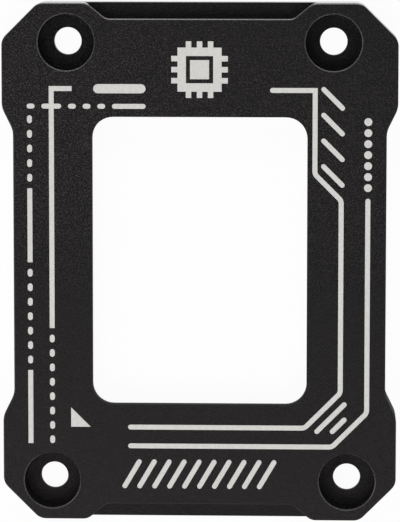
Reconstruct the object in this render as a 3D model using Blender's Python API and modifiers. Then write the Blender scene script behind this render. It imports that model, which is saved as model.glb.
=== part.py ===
"""Processor socket retention frame, milled from one plate, with paint-filled engraved marks.

The frame lies flat on the board: +Z is up out of the board, +Y runs along the long side and +X
along the short side. The origin is at the middle of the board face. All lengths are in metres.
"""

import math

import bmesh
import bpy

MM = 0.001

# Processor package that the frame holds down, and the socket body around it
PACKAGE_WIDTH = 37.5 * MM
PACKAGE_LENGTH = 45.0 * MM
PACKAGE_CLEARANCE = 0.15 * MM
SOCKET_SIDE_RIM = 1.85 * MM
SOCKET_END_RIM = 2.3 * MM
SOCKET_CLEARANCE = 0.25 * MM

# Plate, as wide and long as the socket body and a wall on each side of it
SIDE_WALL = 6.4 * MM
END_WALL = 10.75 * MM
SOCKET_WIDTH = PACKAGE_WIDTH + 2 * SOCKET_SIDE_RIM
SOCKET_LENGTH = PACKAGE_LENGTH + 2 * SOCKET_END_RIM
PLATE_WIDTH = SOCKET_WIDTH + 2 * SIDE_WALL
PLATE_LENGTH = SOCKET_LENGTH + 2 * END_WALL
PLATE_THICKNESS = 6.0 * MM
CORNER_CHAMFER = 5.0 * MM
CORNER_ROUNDING = 2.0 * MM
EDGE_BREAK = 0.15 * MM
EDGE_SEGMENTS = 2

# Ears at the four corners, between the waists of the long sides and the steps of the short ones
EAR_LENGTH = 14.3 * MM
EAR_WIDTH = 11.6 * MM
WAIST_DEPTH = 1.53 * MM
WAIST_RAMP = 3.1 * MM
WAIST_ROUNDING = 3.0 * MM
NOTCH_DEPTH = 2.15 * MM
NOTCH_RUN = 2.65 * MM
NOTCH_STEP = 3.0 * MM
NOTCH_INNER_ROUNDING = 1.6 * MM
NOTCH_OUTER_ROUNDING = 1.8 * MM

# Lip that reaches in over the package, around the window
SIDE_LIP = 4.06 * MM
END_LIP = 2.71 * MM
LIP_THICKNESS = 1.6 * MM
WINDOW_WIDTH = PACKAGE_WIDTH - 2 * SIDE_LIP
WINDOW_LENGTH = PACKAGE_LENGTH - 2 * END_LIP
WINDOW_SHIFT = 0.25 * MM
WINDOW_ROUNDING = 2.9 * MM

# Underside pockets
SOCKET_POCKET_DEPTH = 3.2 * MM
POCKET_ROUNDING = 1.5 * MM

# Screw places
SCREW_SIDE_UPPER = 8.79 * MM
SCREW_SIDE_LOWER = 6.73 * MM
SCREW_END = 5.38 * MM
SCREW_HOLE = 3.75 * MM
SCREW_LAND = 1.8 * MM
HEAD_RECESS = 7.7 * MM
HEAD_RECESS_CHAMFER = 0.15 * MM
HOLE_BACK_CHAMFER = 0.8 * MM
ROUND_SIDES = 36

# Engraved marks and the paint in them
MARK_DEPTH = 0.15 * MM
PAINT_CLEARANCE = 0.04 * MM
TRACE_WIDTH = 0.68 * MM
TRACE_BEND = 1.0 * MM
DASH_LENGTH = 1.09 * MM
MARK_GAP = 0.91 * MM

LEFT_COLUMN_INSET = 3.8 * MM
COLUMN_SPACING = 2.99 * MM
COLUMN_END_INSET = 10.54 * MM
UPPER_COLUMN_DASHES = 5
LOWER_COLUMN_DASHES = 7
INNER_COLUMN_DASHES = 8

ROW_ABOVE_WINDOW = 1.44 * MM
CROSSING_DASH = 2.73 * MM
ROW_DASHES = 3
ROW_BAR = 4.6 * MM
THICK_BAR_LENGTH = 7.16 * MM
THICK_BAR_WIDTH = 1.26 * MM
ARM_ABOVE_ROW = 2.4 * MM
ARM_LENGTH = 2.78 * MM

RIGHT_TRACE_INSET = 4.05 * MM
RIGHT_TRACE_SPACING = 3.63 * MM
TRACE_BESIDE_WINDOW = 1.03 * MM
TRACE_BESIDE_LENGTH = 11.41 * MM
RIGHT_ARM_ABOVE_WINDOW = 3.67 * MM
TOP_ARM_LENGTH = 5.8 * MM
BOTTOM_TRACE_INSET = 10.25 * MM
BOTTOM_TRACE_SPACING = 2.61 * MM
BOTTOM_TRACE_START = -9.81 * MM
INNER_CORNER_CUT = 4.88 * MM
OUTER_CORNER_CUT = 4.74 * MM
OUTER_TRACE_DROP = 14.72 * MM

DOT_DIAMETER = 1.08 * MM
DOT_PITCH = 1.5 * MM
DOT_COUNT = 7
DOT_SIDES = 24

SLASH_OFFSET = 1.17 * MM
SLASH_RISE = 0.15 * MM
SLASH_RUN = 2.55 * MM
SLASH_PITCH = 3.5 * MM
SLASH_COUNT = 4
CORNER_SLASH_DROP = 0.46 * MM
CORNER_SLASH_REACH = 0.56 * MM
CORNER_SLASH_RUNS = (3.75 * MM, 1.63 * MM)

TRIANGLE_LEG = 2.7 * MM
TRIANGLE_BESIDE_COLUMN = 2.56 * MM

# Generic chip sign above the window
CHIP_SIZE = 6.0 * MM
CHIP_LINE = 1.15 * MM
CHIP_CORE = 2.6 * MM
CHIP_PIN_LENGTH = 0.85 * MM
CHIP_PIN_WIDTH = 0.75 * MM
CHIP_PINS = 3
CHIP_ABOVE_WINDOW = 6.46 * MM

# Row of plain slanted strokes below the window
HATCH_COUNT = 10
HATCH_PITCH = 2.06 * MM
HATCH_HEIGHT = 3.4 * MM
HATCH_LEAN = 2.0 * MM
HATCH_ABOVE_EDGE = 6.35 * MM

# Fineness of arcs, and the largest share of a side that one fillet may take
ARC_STEP = math.radians(10)
SMALLEST_TURN = math.radians(2.5)
CAP_STEPS = 6
FILLET_SHARE = 0.49

# Shading and joining of faces, and the height of a normal that counts as level or upright
SHARP_ANGLE = math.radians(30)
FLAT_ANGLE = math.radians(0.5)
LEVEL_NORMAL = 0.9
UPRIGHT_NORMAL = 0.1
WELD = 0.0000001

# How far a cutter reaches past the face that it opens
CUT_MARGIN = 1.0 * MM

# Decimals kept in a drawn outline, so that points on one line stay exactly on it
LENGTH_DIGITS = 9

FRAME = "cpu_socket_retention_frame"


def remove_everything():
    for item in list(bpy.data.objects):
        bpy.data.objects.remove(item, do_unlink=True)


def new_collection(name):
    collection = bpy.data.collections.new(name)
    bpy.context.scene.collection.children.link(collection)
    return collection


def make_material(name, colour, roughness, metallic):
    material = bpy.data.materials.new(name)
    material.use_nodes = True
    shader = material.node_tree.nodes["Principled BSDF"]
    shader.inputs["Base Color"].default_value = (*colour, 1.0)
    shader.inputs["Roughness"].default_value = roughness
    shader.inputs["Metallic"].default_value = metallic
    return material


def black_anodising():
    return make_material("black_anodising", (0.018, 0.017, 0.017), 0.5, 0.6)


def light_paint():
    return make_material("light_paint", (0.62, 0.61, 0.59), 0.55, 0.0)


def direction(start, end):
    """Unit vector from one point to another, and the distance."""
    length = math.hypot(end[0] - start[0], end[1] - start[1])
    return (end[0] - start[0]) / length, (end[1] - start[1]) / length, length


def corner_arc(before, corner, after, radius):
    """Points of the fillet at one corner, limited to half of each side."""
    back_x, back_y, back_length = direction(corner, before)
    on_x, on_y, on_length = direction(corner, after)
    turn = math.pi - math.acos(max(-1.0, min(1.0, back_x * on_x + back_y * on_y)))
    if radius <= 0 or turn < SMALLEST_TURN:
        return [corner]
    tangent = min(radius * math.tan(turn / 2), FILLET_SHARE * min(back_length, on_length))
    radius = tangent / math.tan(turn / 2)
    middle_x, middle_y = back_x + on_x, back_y + on_y
    scale = radius / math.cos(turn / 2) / math.hypot(middle_x, middle_y)
    centre = (corner[0] + middle_x * scale, corner[1] + middle_y * scale)
    first = math.atan2(corner[1] + back_y * tangent - centre[1],
                       corner[0] + back_x * tangent - centre[0])
    sweep = turn if back_x * on_y - back_y * on_x < 0 else -turn
    steps = max(2, math.ceil(turn / ARC_STEP))
    return [(centre[0] + radius * math.cos(first + sweep * step / steps),
             centre[1] + radius * math.sin(first + sweep * step / steps))
            for step in range(steps + 1)]


def rounded_loop(corners):
    """Closed outline from (x, y, radius) corners."""
    points = []
    for index, (x, y, radius) in enumerate(corners):
        before = corners[index - 1]
        after = corners[(index + 1) % len(corners)]
        points += corner_arc(before[:2], (x, y), after[:2], radius)
    return points


def rounded_path(corners):
    """Open path from (x, y, radius) corners; the two ends stay where they are."""
    points = [corners[0][:2]]
    for before, here, after in zip(corners, corners[1:], corners[2:]):
        points += corner_arc(before[:2], here[:2], after[:2], here[2])
    return points + [corners[-1][:2]]


def offset_point(before, here, after, distance):
    """The point moved to the right of its two sides by the distance."""
    in_x, in_y, _ = direction(before, here)
    out_x, out_y, _ = direction(here, after)
    normal_x, normal_y = in_y + out_y, -in_x - out_x
    scale = 2 * distance / (normal_x ** 2 + normal_y ** 2)
    return here[0] + normal_x * scale, here[1] + normal_y * scale


def grown(loop, distance):
    """An anticlockwise outline grown outwards by the distance."""
    return [offset_point(loop[index - 1], here, loop[(index + 1) % len(loop)], distance)
            for index, here in enumerate(loop)]


def round_cap(tip, along_x, along_y, half_width):
    """Half circle that ends a stroke, from its right side to its left."""
    start = math.atan2(-along_x, along_y)
    return [(tip[0] + half_width * math.cos(start + math.pi * step / CAP_STEPS),
             tip[1] + half_width * math.sin(start + math.pi * step / CAP_STEPS))
            for step in range(CAP_STEPS + 1)]


def square_cap(tip, along_x, along_y, half_width):
    """The two corners that end a stroke, from its right side to its left."""
    return [(tip[0] + along_y * half_width, tip[1] - along_x * half_width),
            (tip[0] - along_y * half_width, tip[1] + along_x * half_width)]


def stroke(path, width, first_cap=round_cap, last_cap=round_cap):
    """Anticlockwise outline of a line of even width along a path of centre points."""
    half = width / 2
    along_x, along_y, _ = direction(path[-2], path[-1])
    back_x, back_y, _ = direction(path[1], path[0])
    right = [offset_point(*three, half) for three in zip(path, path[1:], path[2:])]
    left = [offset_point(*three, -half) for three in zip(path, path[1:], path[2:])]
    outline = first_cap(path[0], back_x, back_y, half) + right
    return outline + last_cap(path[-1], along_x, along_y, half) + left[::-1]


def pill(start, end, width):
    """Round-ended stroke between two tips."""
    along_x, along_y, _ = direction(start, end)
    inset = width / 2
    return stroke([(start[0] + along_x * inset, start[1] + along_y * inset),
                   (end[0] - along_x * inset, end[1] - along_y * inset)], width)


def bar(start, end, width):
    """Square-ended stroke between two tips."""
    return stroke([start, end], width, square_cap, square_cap)


def rectangle(width, length, rounding, centre=(0, 0)):
    x, y = centre
    return rounded_loop([(x - width / 2, y - length / 2, rounding),
                         (x + width / 2, y - length / 2, rounding),
                         (x + width / 2, y + length / 2, rounding),
                         (x - width / 2, y + length / 2, rounding)])


def flat_solid(name, outlines, bottom, top, collection):
    """Closed slab between two heights, from 2D outlines; inner ones are holes."""
    xs = [x for x, _ in outlines[0]]
    ys = [y for _, y in outlines[0]]
    centre = ((min(xs) + max(xs)) / 2, (min(ys) + max(ys)) / 2)
    curve = bpy.data.curves.new(name + "_outline", "CURVE")
    curve.dimensions = "2D"
    curve.fill_mode = "BOTH"
    curve.extrude = (top - bottom) / 2
    for outline in outlines:
        spline = curve.splines.new("POLY")
        spline.points.add(len(outline) - 1)
        for point, (x, y) in zip(spline.points, outline):
            point.co = (round(x - centre[0], LENGTH_DIGITS), round(y - centre[1], LENGTH_DIGITS), 0, 1)
        spline.use_cyclic_u = True
    drawn = bpy.data.objects.new(name + "_outline", curve)
    drawn.location = (centre[0], centre[1], (top + bottom) / 2)
    collection.objects.link(drawn)
    solid = as_mesh(drawn, name, collection)
    bpy.data.objects.remove(drawn, do_unlink=True)
    return solid


def as_mesh(source, name, collection, join_flat_faces=False):
    """New mesh object with the evaluated shape of another, its seams welded."""
    bpy.context.view_layer.update()
    graph = bpy.context.evaluated_depsgraph_get()
    mesh = bpy.data.meshes.new_from_object(source.evaluated_get(graph))
    mesh.name = name
    shape = bmesh.new()
    shape.from_mesh(mesh)
    bmesh.ops.remove_doubles(shape, verts=shape.verts, dist=WELD)
    if join_flat_faces:
        bmesh.ops.dissolve_limit(shape, angle_limit=FLAT_ANGLE, verts=shape.verts, edges=shape.edges)
    bmesh.ops.recalc_face_normals(shape, faces=shape.faces)
    shape.to_mesh(mesh)
    shape.free()
    solid = bpy.data.objects.new(name, mesh)
    solid.matrix_world = source.matrix_world
    collection.objects.link(solid)
    return solid


def combine(target, other, operation):
    """Live Boolean of one solid with another; the other is kept as a wire guide."""
    other.hide_render = True
    other.display_type = "WIRE"
    boolean = target.modifiers.new(operation.lower() + "_" + other.name, "BOOLEAN")
    boolean.operation = operation
    boolean.solver = "EXACT"
    boolean.object = other


def cut(target, cutter):
    combine(target, cutter, "DIFFERENCE")


def settle(target, collection):
    """Replace a solid by its own result after its cuts."""
    name = target.name
    target.name = name + "_before"
    result = as_mesh(target, name, collection, join_flat_faces=True)
    bpy.data.objects.remove(target, do_unlink=True)
    return result


def break_edges(target, height, width):
    """Bevel the outer edges between the face at one height and its upright walls."""
    shape = bmesh.new()
    shape.from_mesh(target.data)
    shape.normal_update()
    level = height - target.location.z
    edges = []
    for edge in shape.edges:
        if len(edge.link_faces) != 2 or not edge.is_convex:
            continue
        steepest, flattest = sorted(face.normal.z for face in edge.link_faces)
        at_height = all(abs(vert.co.z - level) < WELD for vert in edge.verts)
        if at_height and flattest > LEVEL_NORMAL and abs(steepest) < UPRIGHT_NORMAL:
            edges.append(edge)
    bmesh.ops.bevel(shape, geom=edges, offset=width, offset_type="OFFSET", segments=EDGE_SEGMENTS,
                    profile=0.5, affect="EDGES", clamp_overlap=True)
    shape.to_mesh(target.data)
    shape.free()


def plate_quarter():
    """Corners of the right side's upper half: waist, ear and cut corner."""
    side, end = PLATE_WIDTH / 2, PLATE_LENGTH / 2
    straight = end - EAR_LENGTH - WAIST_RAMP
    return [(side - WAIST_DEPTH, straight, WAIST_ROUNDING),
            (side, straight + WAIST_RAMP, WAIST_ROUNDING),
            (side, end - CORNER_CHAMFER, CORNER_ROUNDING),
            (side - CORNER_CHAMFER, end, CORNER_ROUNDING)]


def notch_quarter():
    """Corners of the right half of an end step, whose side slants in from the ear."""
    end = PLATE_LENGTH / 2
    mouth = PLATE_WIDTH / 2 - EAR_WIDTH
    return [(mouth, end, NOTCH_OUTER_ROUNDING),
            (mouth - NOTCH_RUN, end - NOTCH_DEPTH, NOTCH_INNER_ROUNDING)]


def mirrored(quarter):
    """Whole anticlockwise outline from the corners of its upper right quarter."""
    upper = quarter + [(-x, y, radius) for x, y, radius in quarter[::-1]]
    lower = [(x, -y, radius) for x, y, radius in upper[::-1]]
    return rounded_loop(upper + lower)


def screw_places():
    """Centres of the four screws; the lower pair stands further apart."""
    end = PLATE_LENGTH / 2 - SCREW_END
    upper = PLATE_WIDTH / 2 - SCREW_SIDE_UPPER
    lower = PLATE_WIDTH / 2 - SCREW_SIDE_LOWER
    return [(-upper, end), (upper, end), (-lower, -end), (lower, -end)]


def screw_cutter(name, centre, collection):
    """Turned cutter: head recess with a broken rim, hole, and a flare at the back."""
    above, below = PLATE_THICKNESS + CUT_MARGIN, -CUT_MARGIN
    head, hole = HEAD_RECESS / 2, SCREW_HOLE / 2
    profile = [(0, above),
               (head + HEAD_RECESS_CHAMFER, above),
               (head + HEAD_RECESS_CHAMFER, PLATE_THICKNESS),
               (head, PLATE_THICKNESS - HEAD_RECESS_CHAMFER),
               (head, SCREW_LAND),
               (hole, SCREW_LAND),
               (hole, HOLE_BACK_CHAMFER),
               (hole + HOLE_BACK_CHAMFER, 0),
               (hole + HOLE_BACK_CHAMFER, below),
               (0, below)]
    mesh = bpy.data.meshes.new(name)
    mesh.from_pydata([(x, 0, z) for x, z in profile],
                     [(index, index + 1) for index in range(len(profile) - 1)], [])
    cutter = bpy.data.objects.new(name, mesh)
    cutter.location = (centre[0], centre[1], 0)
    collection.objects.link(cutter)
    turn = cutter.modifiers.new("turn", "SCREW")
    turn.steps = ROUND_SIDES
    turn.render_steps = ROUND_SIDES
    turn.use_merge_vertices = True
    turn.merge_threshold = WELD
    turn.use_normal_calculate = True
    return cutter


def make_plate(marks, parts, cutters):
    """The frame itself, one milled piece."""
    above, below = PLATE_THICKNESS + CUT_MARGIN, -CUT_MARGIN
    step = PLATE_THICKNESS - NOTCH_STEP
    middle = (0, WINDOW_SHIFT)
    base = flat_solid("base_layer", [mirrored(plate_quarter())], 0, step, cutters)
    break_edges(base, step, EDGE_BREAK)
    plate = flat_solid("frame_plate", [mirrored(plate_quarter() + notch_quarter())],
                       step - EDGE_BREAK, PLATE_THICKNESS, parts)
    combine(plate, base, "UNION")
    plate = settle(plate, parts)
    break_edges(plate, PLATE_THICKNESS, EDGE_BREAK)

    window = rectangle(WINDOW_WIDTH, WINDOW_LENGTH, WINDOW_ROUNDING, middle)
    cut(plate, flat_solid("window", [window], below, above, cutters))
    package = rectangle(PACKAGE_WIDTH + 2 * PACKAGE_CLEARANCE, PACKAGE_LENGTH + 2 * PACKAGE_CLEARANCE,
                        POCKET_ROUNDING, middle)
    cut(plate, flat_solid("package_pocket", [package], below, PLATE_THICKNESS - LIP_THICKNESS, cutters))
    socket = rectangle(SOCKET_WIDTH + 2 * SOCKET_CLEARANCE, SOCKET_LENGTH + 2 * SOCKET_CLEARANCE,
                       POCKET_ROUNDING, middle)
    cut(plate, flat_solid("socket_pocket", [socket], below, SOCKET_POCKET_DEPTH, cutters))
    for index, centre in enumerate(screw_places(), 1):
        cut(plate, screw_cutter("screw_place_%d" % index, centre, cutters))
    floor = PLATE_THICKNESS - MARK_DEPTH
    pockets = []
    branch_pockets = []
    for _, outlines, branches in marks:
        pockets.append(grown(outlines[0], PAINT_CLEARANCE))
        pockets += [grown(hole, -PAINT_CLEARANCE) for hole in outlines[1:]]
        branch_pockets += [grown(branch, PAINT_CLEARANCE) for branch in branches]
    cut(plate, flat_solid("engraving", pockets, floor, above, cutters))
    cut(plate, flat_solid("engraving_branches", branch_pockets, floor, above, cutters))
    plate.data.materials.append(black_anodising())
    plate.data.shade_smooth()
    plate.data.set_sharp_from_angle(angle=SHARP_ANGLE)


def mark(name, *outlines, branches=()):
    """A painted mark: its outline, any holes in it, and outlines that are joined to it."""
    return name, outlines, branches


def column_of_dashes(name, x, top, count, bar_length=0):
    """Dashes down a column, with a long square-ended bar after them if asked for."""
    marks = []
    for index in range(count):
        dash = pill((x, top), (x, top - DASH_LENGTH), TRACE_WIDTH)
        marks.append(mark("%s_dash_%d" % (name, index + 1), dash))
        top -= DASH_LENGTH + MARK_GAP
    if bar_length:
        marks.append(mark(name + "_bar", bar((x, top), (x, top - bar_length), TRACE_WIDTH)))
        top -= bar_length + MARK_GAP
    return marks, top


def left_marks():
    """Dashed columns and row, thick bar and angled trace on the left."""
    outer_x = -PLATE_WIDTH / 2 + LEFT_COLUMN_INSET
    inner_x = outer_x + COLUMN_SPACING
    row_y = WINDOW_SHIFT + WINDOW_LENGTH / 2 + ROW_ABOVE_WINDOW
    arm_y = row_y + ARM_ABOVE_ROW
    dash_pitch = DASH_LENGTH + MARK_GAP

    column_top = row_y - TRACE_WIDTH / 2 - MARK_GAP
    column_end = -PLATE_LENGTH / 2 + COLUMN_END_INSET
    dashes = (UPPER_COLUMN_DASHES + LOWER_COLUMN_DASHES) * dash_pitch
    bar_length = (column_top - column_end - dashes - MARK_GAP) / 2
    trace_end = column_end + INNER_COLUMN_DASHES * dash_pitch
    upper, next_top = column_of_dashes("outer_column_upper", outer_x, column_top,
                                       UPPER_COLUMN_DASHES, bar_length)
    lower, _ = column_of_dashes("outer_column_lower", outer_x, next_top,
                                LOWER_COLUMN_DASHES, bar_length)
    inner, _ = column_of_dashes("inner_column", inner_x, trace_end - MARK_GAP,
                                INNER_COLUMN_DASHES)
    trace = stroke([(inner_x + ARM_LENGTH, arm_y), (inner_x, arm_y), (inner_x, trace_end)],
                   TRACE_WIDTH, square_cap, square_cap)
    crossing = pill((inner_x - CROSSING_DASH / 2, row_y), (inner_x + CROSSING_DASH / 2, row_y),
                    TRACE_WIDTH)

    first_end = inner_x - CROSSING_DASH / 2 - MARK_GAP
    first = pill((first_end - DASH_LENGTH, row_y), (first_end, row_y), TRACE_WIDTH)
    row = [mark("row_dash_1", first)]
    x = inner_x + CROSSING_DASH / 2 + MARK_GAP
    for index in range(ROW_DASHES):
        dash = pill((x, row_y), (x + DASH_LENGTH, row_y), TRACE_WIDTH)
        row.append(mark("row_dash_%d" % (index + 2), dash))
        x += dash_pitch
    row_end = x + ROW_BAR
    row.append(mark("row_bar", pill((x, row_y), (row_end, row_y), TRACE_WIDTH)))
    thick = pill((row_end - THICK_BAR_LENGTH, arm_y), (row_end, arm_y), THICK_BAR_WIDTH)
    return upper + lower + inner + row + [mark("left_trace", trace, branches=[crossing]),
                                          mark("thick_bar", thick)]


def circle(centre, diameter):
    return [(centre[0] + diameter / 2 * math.cos(math.tau * step / DOT_SIDES),
             centre[1] + diameter / 2 * math.sin(math.tau * step / DOT_SIDES))
            for step in range(DOT_SIDES)]


def slash(start, run, rise):
    return stroke([start, (start[0] + run, start[1] + rise)], TRACE_WIDTH)


def right_marks():
    """Two long traces, dots and slashes on the right and below the window."""
    outer_x = PLATE_WIDTH / 2 - RIGHT_TRACE_INSET
    lower_x = outer_x - RIGHT_TRACE_SPACING
    upper_x = WINDOW_WIDTH / 2 + TRACE_BESIDE_WINDOW
    outer_y = -PLATE_LENGTH / 2 + BOTTOM_TRACE_INSET
    inner_y = outer_y + BOTTOM_TRACE_SPACING
    arm_y = WINDOW_SHIFT + WINDOW_LENGTH / 2 + RIGHT_ARM_ABOVE_WINDOW
    bend_y = arm_y - TRACE_BESIDE_LENGTH
    ramp_end = bend_y - (lower_x - upper_x)
    outer_top = arm_y - OUTER_TRACE_DROP
    half = TRACE_WIDTH / 2
    inner = rounded_path([(upper_x - TOP_ARM_LENGTH, arm_y, 0),
                          (upper_x, arm_y, 0),
                          (upper_x, bend_y, TRACE_BEND),
                          (lower_x, ramp_end, TRACE_BEND),
                          (lower_x, inner_y + INNER_CORNER_CUT, TRACE_BEND),
                          (lower_x - INNER_CORNER_CUT, inner_y, TRACE_BEND),
                          (BOTTOM_TRACE_START + half, inner_y, 0)])
    outer = rounded_path([(outer_x, outer_top - half, 0),
                          (outer_x, outer_y + OUTER_CORNER_CUT, TRACE_BEND),
                          (outer_x - OUTER_CORNER_CUT, outer_y, TRACE_BEND),
                          (BOTTOM_TRACE_START + half, outer_y, 0)])
    marks = [mark("right_inner_trace", stroke(inner, TRACE_WIDTH)),
             mark("right_outer_trace", stroke(outer, TRACE_WIDTH))]
    lowest_dot = outer_top + MARK_GAP + DOT_DIAMETER / 2
    for index in range(DOT_COUNT):
        centre = (outer_x, lowest_dot + index * DOT_PITCH)
        marks.append(mark("dot_%d" % (index + 1), circle(centre, DOT_DIAMETER)))
    for index in range(SLASH_COUNT):
        start = (upper_x + SLASH_OFFSET, arm_y + SLASH_RISE - index * SLASH_PITCH)
        marks.append(mark("slash_%d" % (index + 1), slash(start, SLASH_RUN, -SLASH_RUN)))
    for index, run in enumerate(CORNER_SLASH_RUNS):
        start = (lower_x + CORNER_SLASH_REACH - run, inner_y - CORNER_SLASH_DROP)
        marks.append(mark("corner_slash_%d" % (index + 1), slash(start, run, run)))
    return marks


def first_pin_triangle():
    """Right-angled triangle beside the dashed column, level with the inner trace."""
    x = -PLATE_WIDTH / 2 + LEFT_COLUMN_INSET + COLUMN_SPACING + TRIANGLE_BESIDE_COLUMN
    y = -PLATE_LENGTH / 2 + BOTTOM_TRACE_INSET + BOTTOM_TRACE_SPACING
    return [mark("first_pin_triangle", [(x, y), (x + TRIANGLE_LEG, y), (x, y + TRIANGLE_LEG)])]


def chip_sign():
    """Plain sign of a chip: a square ring with pins, and a square core."""
    middle = (0, WINDOW_SHIFT + WINDOW_LENGTH / 2 + CHIP_ABOVE_WINDOW)
    half = CHIP_SIZE / 2
    pitch = CHIP_SIZE / (CHIP_PINS + 1)
    root = half - CHIP_LINE / 2
    pins = []
    for index in range(CHIP_PINS):
        along = (index + 1) * pitch - half
        for way in (1, -1):
            inner, outer = way * root, way * (half + CHIP_PIN_LENGTH)
            pins.append(bar((middle[0] + along, middle[1] + inner),
                            (middle[0] + along, middle[1] + outer), CHIP_PIN_WIDTH))
            pins.append(bar((middle[0] + inner, middle[1] + along),
                            (middle[0] + outer, middle[1] + along), CHIP_PIN_WIDTH))
    hole = CHIP_SIZE - 2 * CHIP_LINE
    ring = rectangle(CHIP_SIZE, CHIP_SIZE, 0, middle)
    return [mark("chip_sign_ring", ring, rectangle(hole, hole, 0, middle), branches=pins),
            mark("chip_sign_core", rectangle(CHIP_CORE, CHIP_CORE, 0, middle))]


def hatch_row():
    """Evenly spaced slanted strokes, centred on the plate."""
    y = -PLATE_LENGTH / 2 + HATCH_ABOVE_EDGE - HATCH_HEIGHT / 2
    first = -(HATCH_COUNT - 1) * HATCH_PITCH / 2 - HATCH_LEAN / 2
    return [mark("hatch_%d" % (index + 1),
                 slash((first + index * HATCH_PITCH, y), HATCH_LEAN, HATCH_HEIGHT))
            for index in range(HATCH_COUNT)]


def make_paint(marks, parts, cutters):
    """The paint in each pocket, level with the face of the plate."""
    paint = light_paint()
    floor = PLATE_THICKNESS - MARK_DEPTH + PAINT_CLEARANCE
    for name, outlines, branches in marks:
        fill = flat_solid(name, outlines, floor, PLATE_THICKNESS, parts)
        fill.data.materials.append(paint)
        if branches:
            joined = flat_solid(name + "_branches", branches, floor, PLATE_THICKNESS, cutters)
            combine(fill, joined, "UNION")


def main():
    remove_everything()
    parts = new_collection(FRAME)
    cutters = new_collection("cutters")
    marks = left_marks() + right_marks() + first_pin_triangle() + chip_sign() + hatch_row()
    make_plate(marks, parts, cutters)
    make_paint(marks, parts, cutters)


main()
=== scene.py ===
import math

import bpy
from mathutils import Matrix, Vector

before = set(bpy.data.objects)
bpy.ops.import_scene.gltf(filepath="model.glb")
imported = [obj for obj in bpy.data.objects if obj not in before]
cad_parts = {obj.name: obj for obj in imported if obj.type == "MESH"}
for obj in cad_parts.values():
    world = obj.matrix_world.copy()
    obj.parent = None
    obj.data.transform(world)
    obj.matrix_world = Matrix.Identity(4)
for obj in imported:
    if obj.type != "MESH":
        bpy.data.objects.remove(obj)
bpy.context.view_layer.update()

# Camera, solved from the photograph's edges: place in metres, turn in degrees, lens and sensor in mm
CAMERA_PLACE = (0.0175625, 0.0543025, 0.4753602)
CAMERA_TURN = (-6.55230668, 2.13683624, 0.03018513)
CAMERA_LENS = 238.55
CAMERA_SENSOR = 36.0
CAMERA_REACH = (0.01, 20.0)

# Soft studio light: name, place, width and height in metres, watts. Each lamp is aimed at CENTRE.
CENTRE = Vector((0.0, 0.0, 0.0))
SOFTBOX = (0.48, 0.44)
WIDE_SOFTBOX = (0.60, 0.25)
STRIP = (1.2, 0.10)
LAMPS = (
    ("softbox", (0.0, -0.278, 0.856), SOFTBOX, 4.0),
    ("side_softbox", (-0.460, -0.239, 0.736), SOFTBOX, 1.1),
    ("back_softbox", (0.0, 0.614, 0.658), WIDE_SOFTBOX, 2.0),
    ("strip_back", (0.0, 0.6, 0.05), STRIP, 0.80),
    ("strip_left", (-0.6, 0.0, 0.05), STRIP, 0.72),
    ("strip_right", (0.6, 0.0, 0.05), STRIP, 0.50),
    ("strip_front", (0.0, -0.6, 0.05), STRIP, 0.72),
)

# Dim surround of the studio, which the camera sees as white
SURROUND_LEVEL = 0.22

# Floor, just clear of the part's underside, and how much of its own shading the camera sees on it
FLOOR_SIZE = 8.0
FLOOR_GAP = 0.00002
FLOOR_COLOUR = (0.88, 0.88, 0.88, 1.0)
FLOOR_SHADING = 0.05

# Painted reflection: a white sheet glowing in the floor's place, for reflections only: dim up to behind the
# part (Y in metres), as painted shade under it, then white
PAINTED_REFLECTION_FADE = (0.024, 0.034)
PAINTED_REFLECTION_LEVEL = (0.10, 1.0)

# What nearly all values of a noise lie between, and their middle
NOISE_RANGE = (0.3, 0.7)
NOISE_MIDDLE = 0.5

# Blasted grain of the plate: patches per metre, and height in metres
GRAIN_SCALE = 5200.0
GRAIN_HEIGHT = 0.00021

# The grain's contrast in the dye rises along the plate (Y in metres), painted stronger towards the back as
# sheen of grazing back light ...
PAINTED_SHEEN_SPAN = (-0.006, 0.036)
GRAIN_AND_PAINTED_SHEEN_CONTRAST = (2.5, 82.0)

# ... and the milled floors and walls, which lie below the face (Z in metres), have a share of it.
FACE_HEIGHT = (0.0050, 0.0055)
GRAIN_SHARE = (0.2, 1.0)

# Black dye: colour, painted light drifting across the plate per metre (lighter towards -X and -Y, where the
# key light falls from), and slow clouds (patches per metre, share)
DYE = (0.0070, 0.0056, 0.0061)
PAINTED_LIGHT_DRIFT = (-5.0, -20.0, 0.0)
DYE_LEAST_SHARE = 0.1
CLOUD_SCALE = 170.0
CLOUD_SHARE = (0.94, 1.06)

# Milled walls, broken edges and blasted flats: from which share of facing up or down, roughness,
# gloss, and how much of the grain's relief they have
WALL_FINISH = (0.00, 0.12, 0.50, 0.02)
EDGE_FINISH = (0.12, 0.25, 1.00, 0.10)
FLAT_FINISH = (0.96, 0.40, 0.20, 1.00)
FINISHES = (WALL_FINISH, EDGE_FINISH, FLAT_FINISH)

# Light grey paint of the marks: its two shades, patches per metre, height in metres
PAINT_DARK = (0.585, 0.58, 0.557, 1.0)
PAINT_LIGHT = (0.68, 0.67, 0.642, 1.0)
PAINT_ROUGHNESS = 0.6
PAINT_SCALE = 2600.0
PAINT_HEIGHT = 0.00001
PAINT_RELIEF = 0.3

# Edges between faces shallower than this are shaded smooth; points closer than this (metres) are joined.
SMOOTH_BELOW = math.radians(16)
SAME_POINT = 0.000001


def add(tree, kind, **settings):
    """New node; a setting names a property, or an input by its label."""
    node = tree.nodes.new(kind)
    for name, value in settings.items():
        if hasattr(node, name):
            setattr(node, name, value)
        else:
            node.inputs[name.replace("_", " ")].default_value = value
    return node


def calculate(tree, operation, *values):
    """Result of a maths node; each value is a number or another node's output."""
    node = add(tree, "ShaderNodeMath", operation=operation)
    for socket, value in zip(node.inputs, values):
        if isinstance(value, float):
            socket.default_value = value
        else:
            tree.links.new(value, socket)
    return node.outputs[0]


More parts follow.
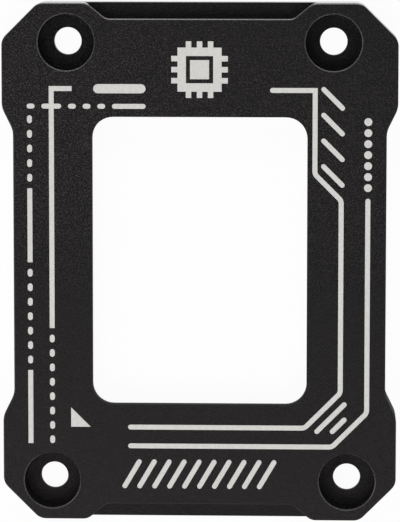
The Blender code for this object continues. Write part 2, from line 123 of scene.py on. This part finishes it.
def map_range(tree, value, old, new):
    """Result of mapping one range to another, held at its ends."""
    node = add(tree, "ShaderNodeMapRange", From_Min=old[0], From_Max=old[1], To_Min=new[0], To_Max=new[1])
    tree.links.new(value, node.inputs["Value"])
    return node.outputs["Result"]


def noise(tree, place, **settings):
    """Value of a noise texture at a place."""
    node = add(tree, "ShaderNodeTexNoise", **settings)
    tree.links.new(place, node.inputs["Vector"])
    return node.outputs["Fac"]


def bump_by(tree, shader, height, **settings):
    """Bump node that gives a shader its normal."""
    node = add(tree, "ShaderNodeBump", **settings)
    tree.links.new(height, node.inputs["Height"])
    tree.links.new(node.outputs["Normal"], shader.inputs["Normal"])
    return node


def new_material(name):
    """Empty material, its tree and its output."""
    material = bpy.data.materials.new(name)
    material.use_nodes = True
    tree = material.node_tree
    tree.nodes.clear()
    return material, tree, add(tree, "ShaderNodeOutputMaterial")


def new_surface(name):
    """Material with a Principled shader, and the piece's own coordinates."""
    material, tree, out = new_material(name)
    shader = add(tree, "ShaderNodeBsdfPrincipled")
    tree.links.new(shader.outputs["BSDF"], out.inputs["Surface"])
    return material, tree, shader, add(tree, "ShaderNodeTexCoord").outputs["Object"]


def smooth_curved_faces():
    """Modifier tree: joins split points, then shades smooth across shallow edges only."""
    tree = bpy.data.node_groups.new("smooth_curved_faces", "GeometryNodeTree")
    tree.interface.new_socket("Geometry", in_out="INPUT", socket_type="NodeSocketGeometry")
    tree.interface.new_socket("Geometry", in_out="OUTPUT", socket_type="NodeSocketGeometry")
    into = add(tree, "NodeGroupInput")
    out = add(tree, "NodeGroupOutput")
    old_normals = add(tree, "GeometryNodeRemoveAttribute", Name="custom_normal")
    weld = add(tree, "GeometryNodeMergeByDistance", Distance=SAME_POINT)
    faces = add(tree, "GeometryNodeSetShadeSmooth", domain="FACE")
    angle = add(tree, "GeometryNodeInputMeshEdgeAngle")
    shallow = add(tree, "FunctionNodeCompare", operation="LESS_THAN", B=SMOOTH_BELOW)
    edges = add(tree, "GeometryNodeSetShadeSmooth", domain="EDGE")
    link = tree.links.new
    link(into.outputs[0], old_normals.inputs["Geometry"])
    link(old_normals.outputs["Geometry"], weld.inputs["Geometry"])
    link(weld.outputs["Geometry"], faces.inputs["Geometry"])
    link(faces.outputs["Geometry"], edges.inputs["Geometry"])
    link(angle.outputs["Unsigned Angle"], shallow.inputs["A"])
    link(shallow.outputs["Result"], edges.inputs["Shade Smooth"])
    link(edges.outputs["Geometry"], out.inputs[0])
    return tree


def by_facing(tree, level, steps):
    """Output that steps through plain values as a face turns from upright to level."""
    ramp = add(tree, "ShaderNodeValToRGB")
    ramp.color_ramp.interpolation = "CONSTANT"
    while len(ramp.color_ramp.elements) < len(steps):
        ramp.color_ramp.elements.new(0.5)
    for element, (start, value) in zip(ramp.color_ramp.elements, steps):
        element.position = start
        element.color = (value, value, value, 1.0)
    tree.links.new(level, ramp.inputs["Fac"])
    return ramp.outputs["Color"]


def black_anodising():
    """Aluminium anodised black: fine-blasted on the flats, smoother on milled walls and edges, with painted
    light in its colour: lighter towards -X and -Y, and the grain's sheen painted stronger towards the back.
    """
    material, tree, shader, place = new_surface("black_anodising")
    link = tree.links.new
    grain = noise(tree, place, Scale=GRAIN_SCALE, Detail=2.0, Roughness=0.6)
    clouds = noise(tree, place, Scale=CLOUD_SCALE, Detail=3.0, Roughness=0.55)

    # dye = colour x (1 + contrast x (grain - middle)) x clouds x (1 + drift); the drift is painted light and
    # the contrast's rise along Y is painted sheen
    along = add(tree, "ShaderNodeSeparateXYZ")
    link(place, along.inputs[0])
    # Painted sheen: the grain's contrast grows towards the back, as grazing back light would raise it.
    contrast = calculate(tree, "MULTIPLY",
                         map_range(tree, along.outputs["Y"], PAINTED_SHEEN_SPAN, GRAIN_AND_PAINTED_SHEEN_CONTRAST),
                         map_range(tree, along.outputs["Z"], FACE_HEIGHT, GRAIN_SHARE))
    centred = calculate(tree, "SUBTRACT", grain, NOISE_MIDDLE)
    speckle_and_painted_sheen = calculate(tree, "MULTIPLY_ADD", centred, contrast, 1.0)
    cloud_share = map_range(tree, clouds, NOISE_RANGE, CLOUD_SHARE)
    # Painted light: the dye is made lighter towards -X and -Y, where the key light falls from.
    painted_light_drift = add(tree, "ShaderNodeVectorMath", operation="DOT_PRODUCT")
    painted_light_drift.inputs[1].default_value = PAINTED_LIGHT_DRIFT
    link(place, painted_light_drift.inputs[0])
    clouds_and_painted_light = calculate(tree, "MULTIPLY_ADD", painted_light_drift.outputs["Value"], cloud_share, cloud_share)
    share = calculate(tree, "MAXIMUM", calculate(tree, "MULTIPLY", speckle_and_painted_sheen, clouds_and_painted_light), DYE_LEAST_SHARE)
    dye_and_painted_light = add(tree, "ShaderNodeVectorMath", operation="SCALE")
    dye_and_painted_light.inputs[0].default_value = DYE
    link(share, dye_and_painted_light.inputs["Scale"])
    link(dye_and_painted_light.outputs["Vector"], shader.inputs["Base Color"])

    shape = add(tree, "ShaderNodeNewGeometry")
    facing = add(tree, "ShaderNodeSeparateXYZ")
    link(shape.outputs["True Normal"], facing.inputs[0])
    level = calculate(tree, "ABSOLUTE", facing.outputs["Z"])
    bump = bump_by(tree, shader, grain, Distance=GRAIN_HEIGHT)
    starts, *columns = zip(*FINISHES)
    sockets = (shader.inputs["Roughness"], shader.inputs["Specular IOR Level"], bump.inputs["Strength"])
    for socket, values in zip(sockets, columns):
        link(by_facing(tree, level, list(zip(starts, values))), socket)
    return material


def light_paint():
    """Light grey matt fill, slightly uneven."""
    material, tree, shader, place = new_surface("light_paint")
    grain = noise(tree, place, Scale=PAINT_SCALE, Detail=3.0, Roughness=0.6)
    tint = add(tree, "ShaderNodeValToRGB")
    for element, position, colour in zip(tint.color_ramp.elements, NOISE_RANGE, (PAINT_DARK, PAINT_LIGHT)):
        element.position = position
        element.color = colour
    tree.links.new(grain, tint.inputs["Fac"])
    tree.links.new(tint.outputs["Color"], shader.inputs["Base Color"])
    shader.inputs["Roughness"].default_value = PAINT_ROUGHNESS
    bump_by(tree, shader, grain, Strength=PAINT_RELIEF, Distance=PAINT_HEIGHT)
    return material


def make_floor():
    """Pale floor: white to the camera but for a little shading; to reflections a glowing white sheet, dimmed
    under and in front of the part, as painted reflection and shade.
    """
    bpy.ops.mesh.primitive_plane_add(size=FLOOR_SIZE, location=(0.0, 0.0, -FLOOR_GAP))
    floor = bpy.context.object
    floor.name = "floor"
    material, tree, out = new_material("floor_white")
    link = tree.links.new
    diffuse = add(tree, "ShaderNodeBsdfDiffuse", Color=FLOOR_COLOUR)
    glow = add(tree, "ShaderNodeEmission", Color=(1.0, 1.0, 1.0, 1.0))
    mix = add(tree, "ShaderNodeMixShader")
    path = add(tree, "ShaderNodeLightPath")
    seen, mirrored = path.outputs["Is Camera Ray"], path.outputs["Is Glossy Ray"]
    place = add(tree, "ShaderNodeNewGeometry")
    along = add(tree, "ShaderNodeSeparateXYZ")
    link(place.outputs["Position"], along.inputs[0])
    # Painted reflection: reflections see the floor glow, dim under and in front of the part, white behind
    # it.
    painted_reflection = map_range(tree, along.outputs["Y"], PAINTED_REFLECTION_FADE, PAINTED_REFLECTION_LEVEL)
    link(calculate(tree, "MULTIPLY_ADD", painted_reflection, mirrored, seen), glow.inputs["Strength"])
    link(calculate(tree, "MULTIPLY_ADD", seen, 1.0 - FLOOR_SHADING, mirrored), mix.inputs["Fac"])
    link(diffuse.outputs[0], mix.inputs[1])
    link(glow.outputs[0], mix.inputs[2])
    link(mix.outputs[0], out.inputs["Surface"])
    floor.data.materials.append(material)


def make_world():
    """Dim even surround, seen by the camera as white."""
    world = bpy.data.worlds.new("studio")
    world.use_nodes = True
    tree = world.node_tree
    tree.nodes.clear()
    out = add(tree, "ShaderNodeOutputWorld")
    path = add(tree, "ShaderNodeLightPath")
    surround = add(tree, "ShaderNodeBackground", Color=(1.0, 1.0, 1.0, 1.0))
    level = map_range(tree, path.outputs["Is Camera Ray"], (0.0, 1.0), (SURROUND_LEVEL, 1.0))
    tree.links.new(level, surround.inputs["Strength"])
    tree.links.new(surround.outputs[0], out.inputs["Surface"])
    bpy.context.scene.world = world


def make_lamp(name, place, size, watts):
    """Area lamp aimed at the middle of the part."""
    light = bpy.data.lights.new(name, "AREA")
    light.shape = "RECTANGLE"
    light.size, light.size_y = size
    light.energy = watts
    lamp = bpy.data.objects.new(name, light)
    lamp.location = place
    lamp.rotation_euler = (CENTRE - Vector(place)).to_track_quat("-Z", "Y").to_euler()
    bpy.context.scene.collection.objects.link(lamp)


def make_camera():
    """Camera at the photograph's place and angle."""
    camera = bpy.data.cameras.new("camera")
    camera.sensor_width = CAMERA_SENSOR
    camera.lens = CAMERA_LENS
    camera.clip_start, camera.clip_end = CAMERA_REACH
    holder = bpy.data.objects.new("camera", camera)
    holder.location = CAMERA_PLACE
    holder.rotation_euler = [math.radians(turn) for turn in CAMERA_TURN]
    bpy.context.scene.collection.objects.link(holder)
    bpy.context.scene.camera = holder


bpy.context.scene.view_settings.view_transform = "Standard"
smoothing = smooth_curved_faces()
plate_material = black_anodising()
paint_material = light_paint()
for name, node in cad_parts.items():
    modifier = node.modifiers.new("smooth_curved_faces", "NODES")
    modifier.node_group = smoothing
    node.material_slots[0].material = plate_material if name == "frame_plate" else paint_material

make_floor()
make_world()
for lamp in LAMPS:
    make_lamp(*lamp)
make_camera()
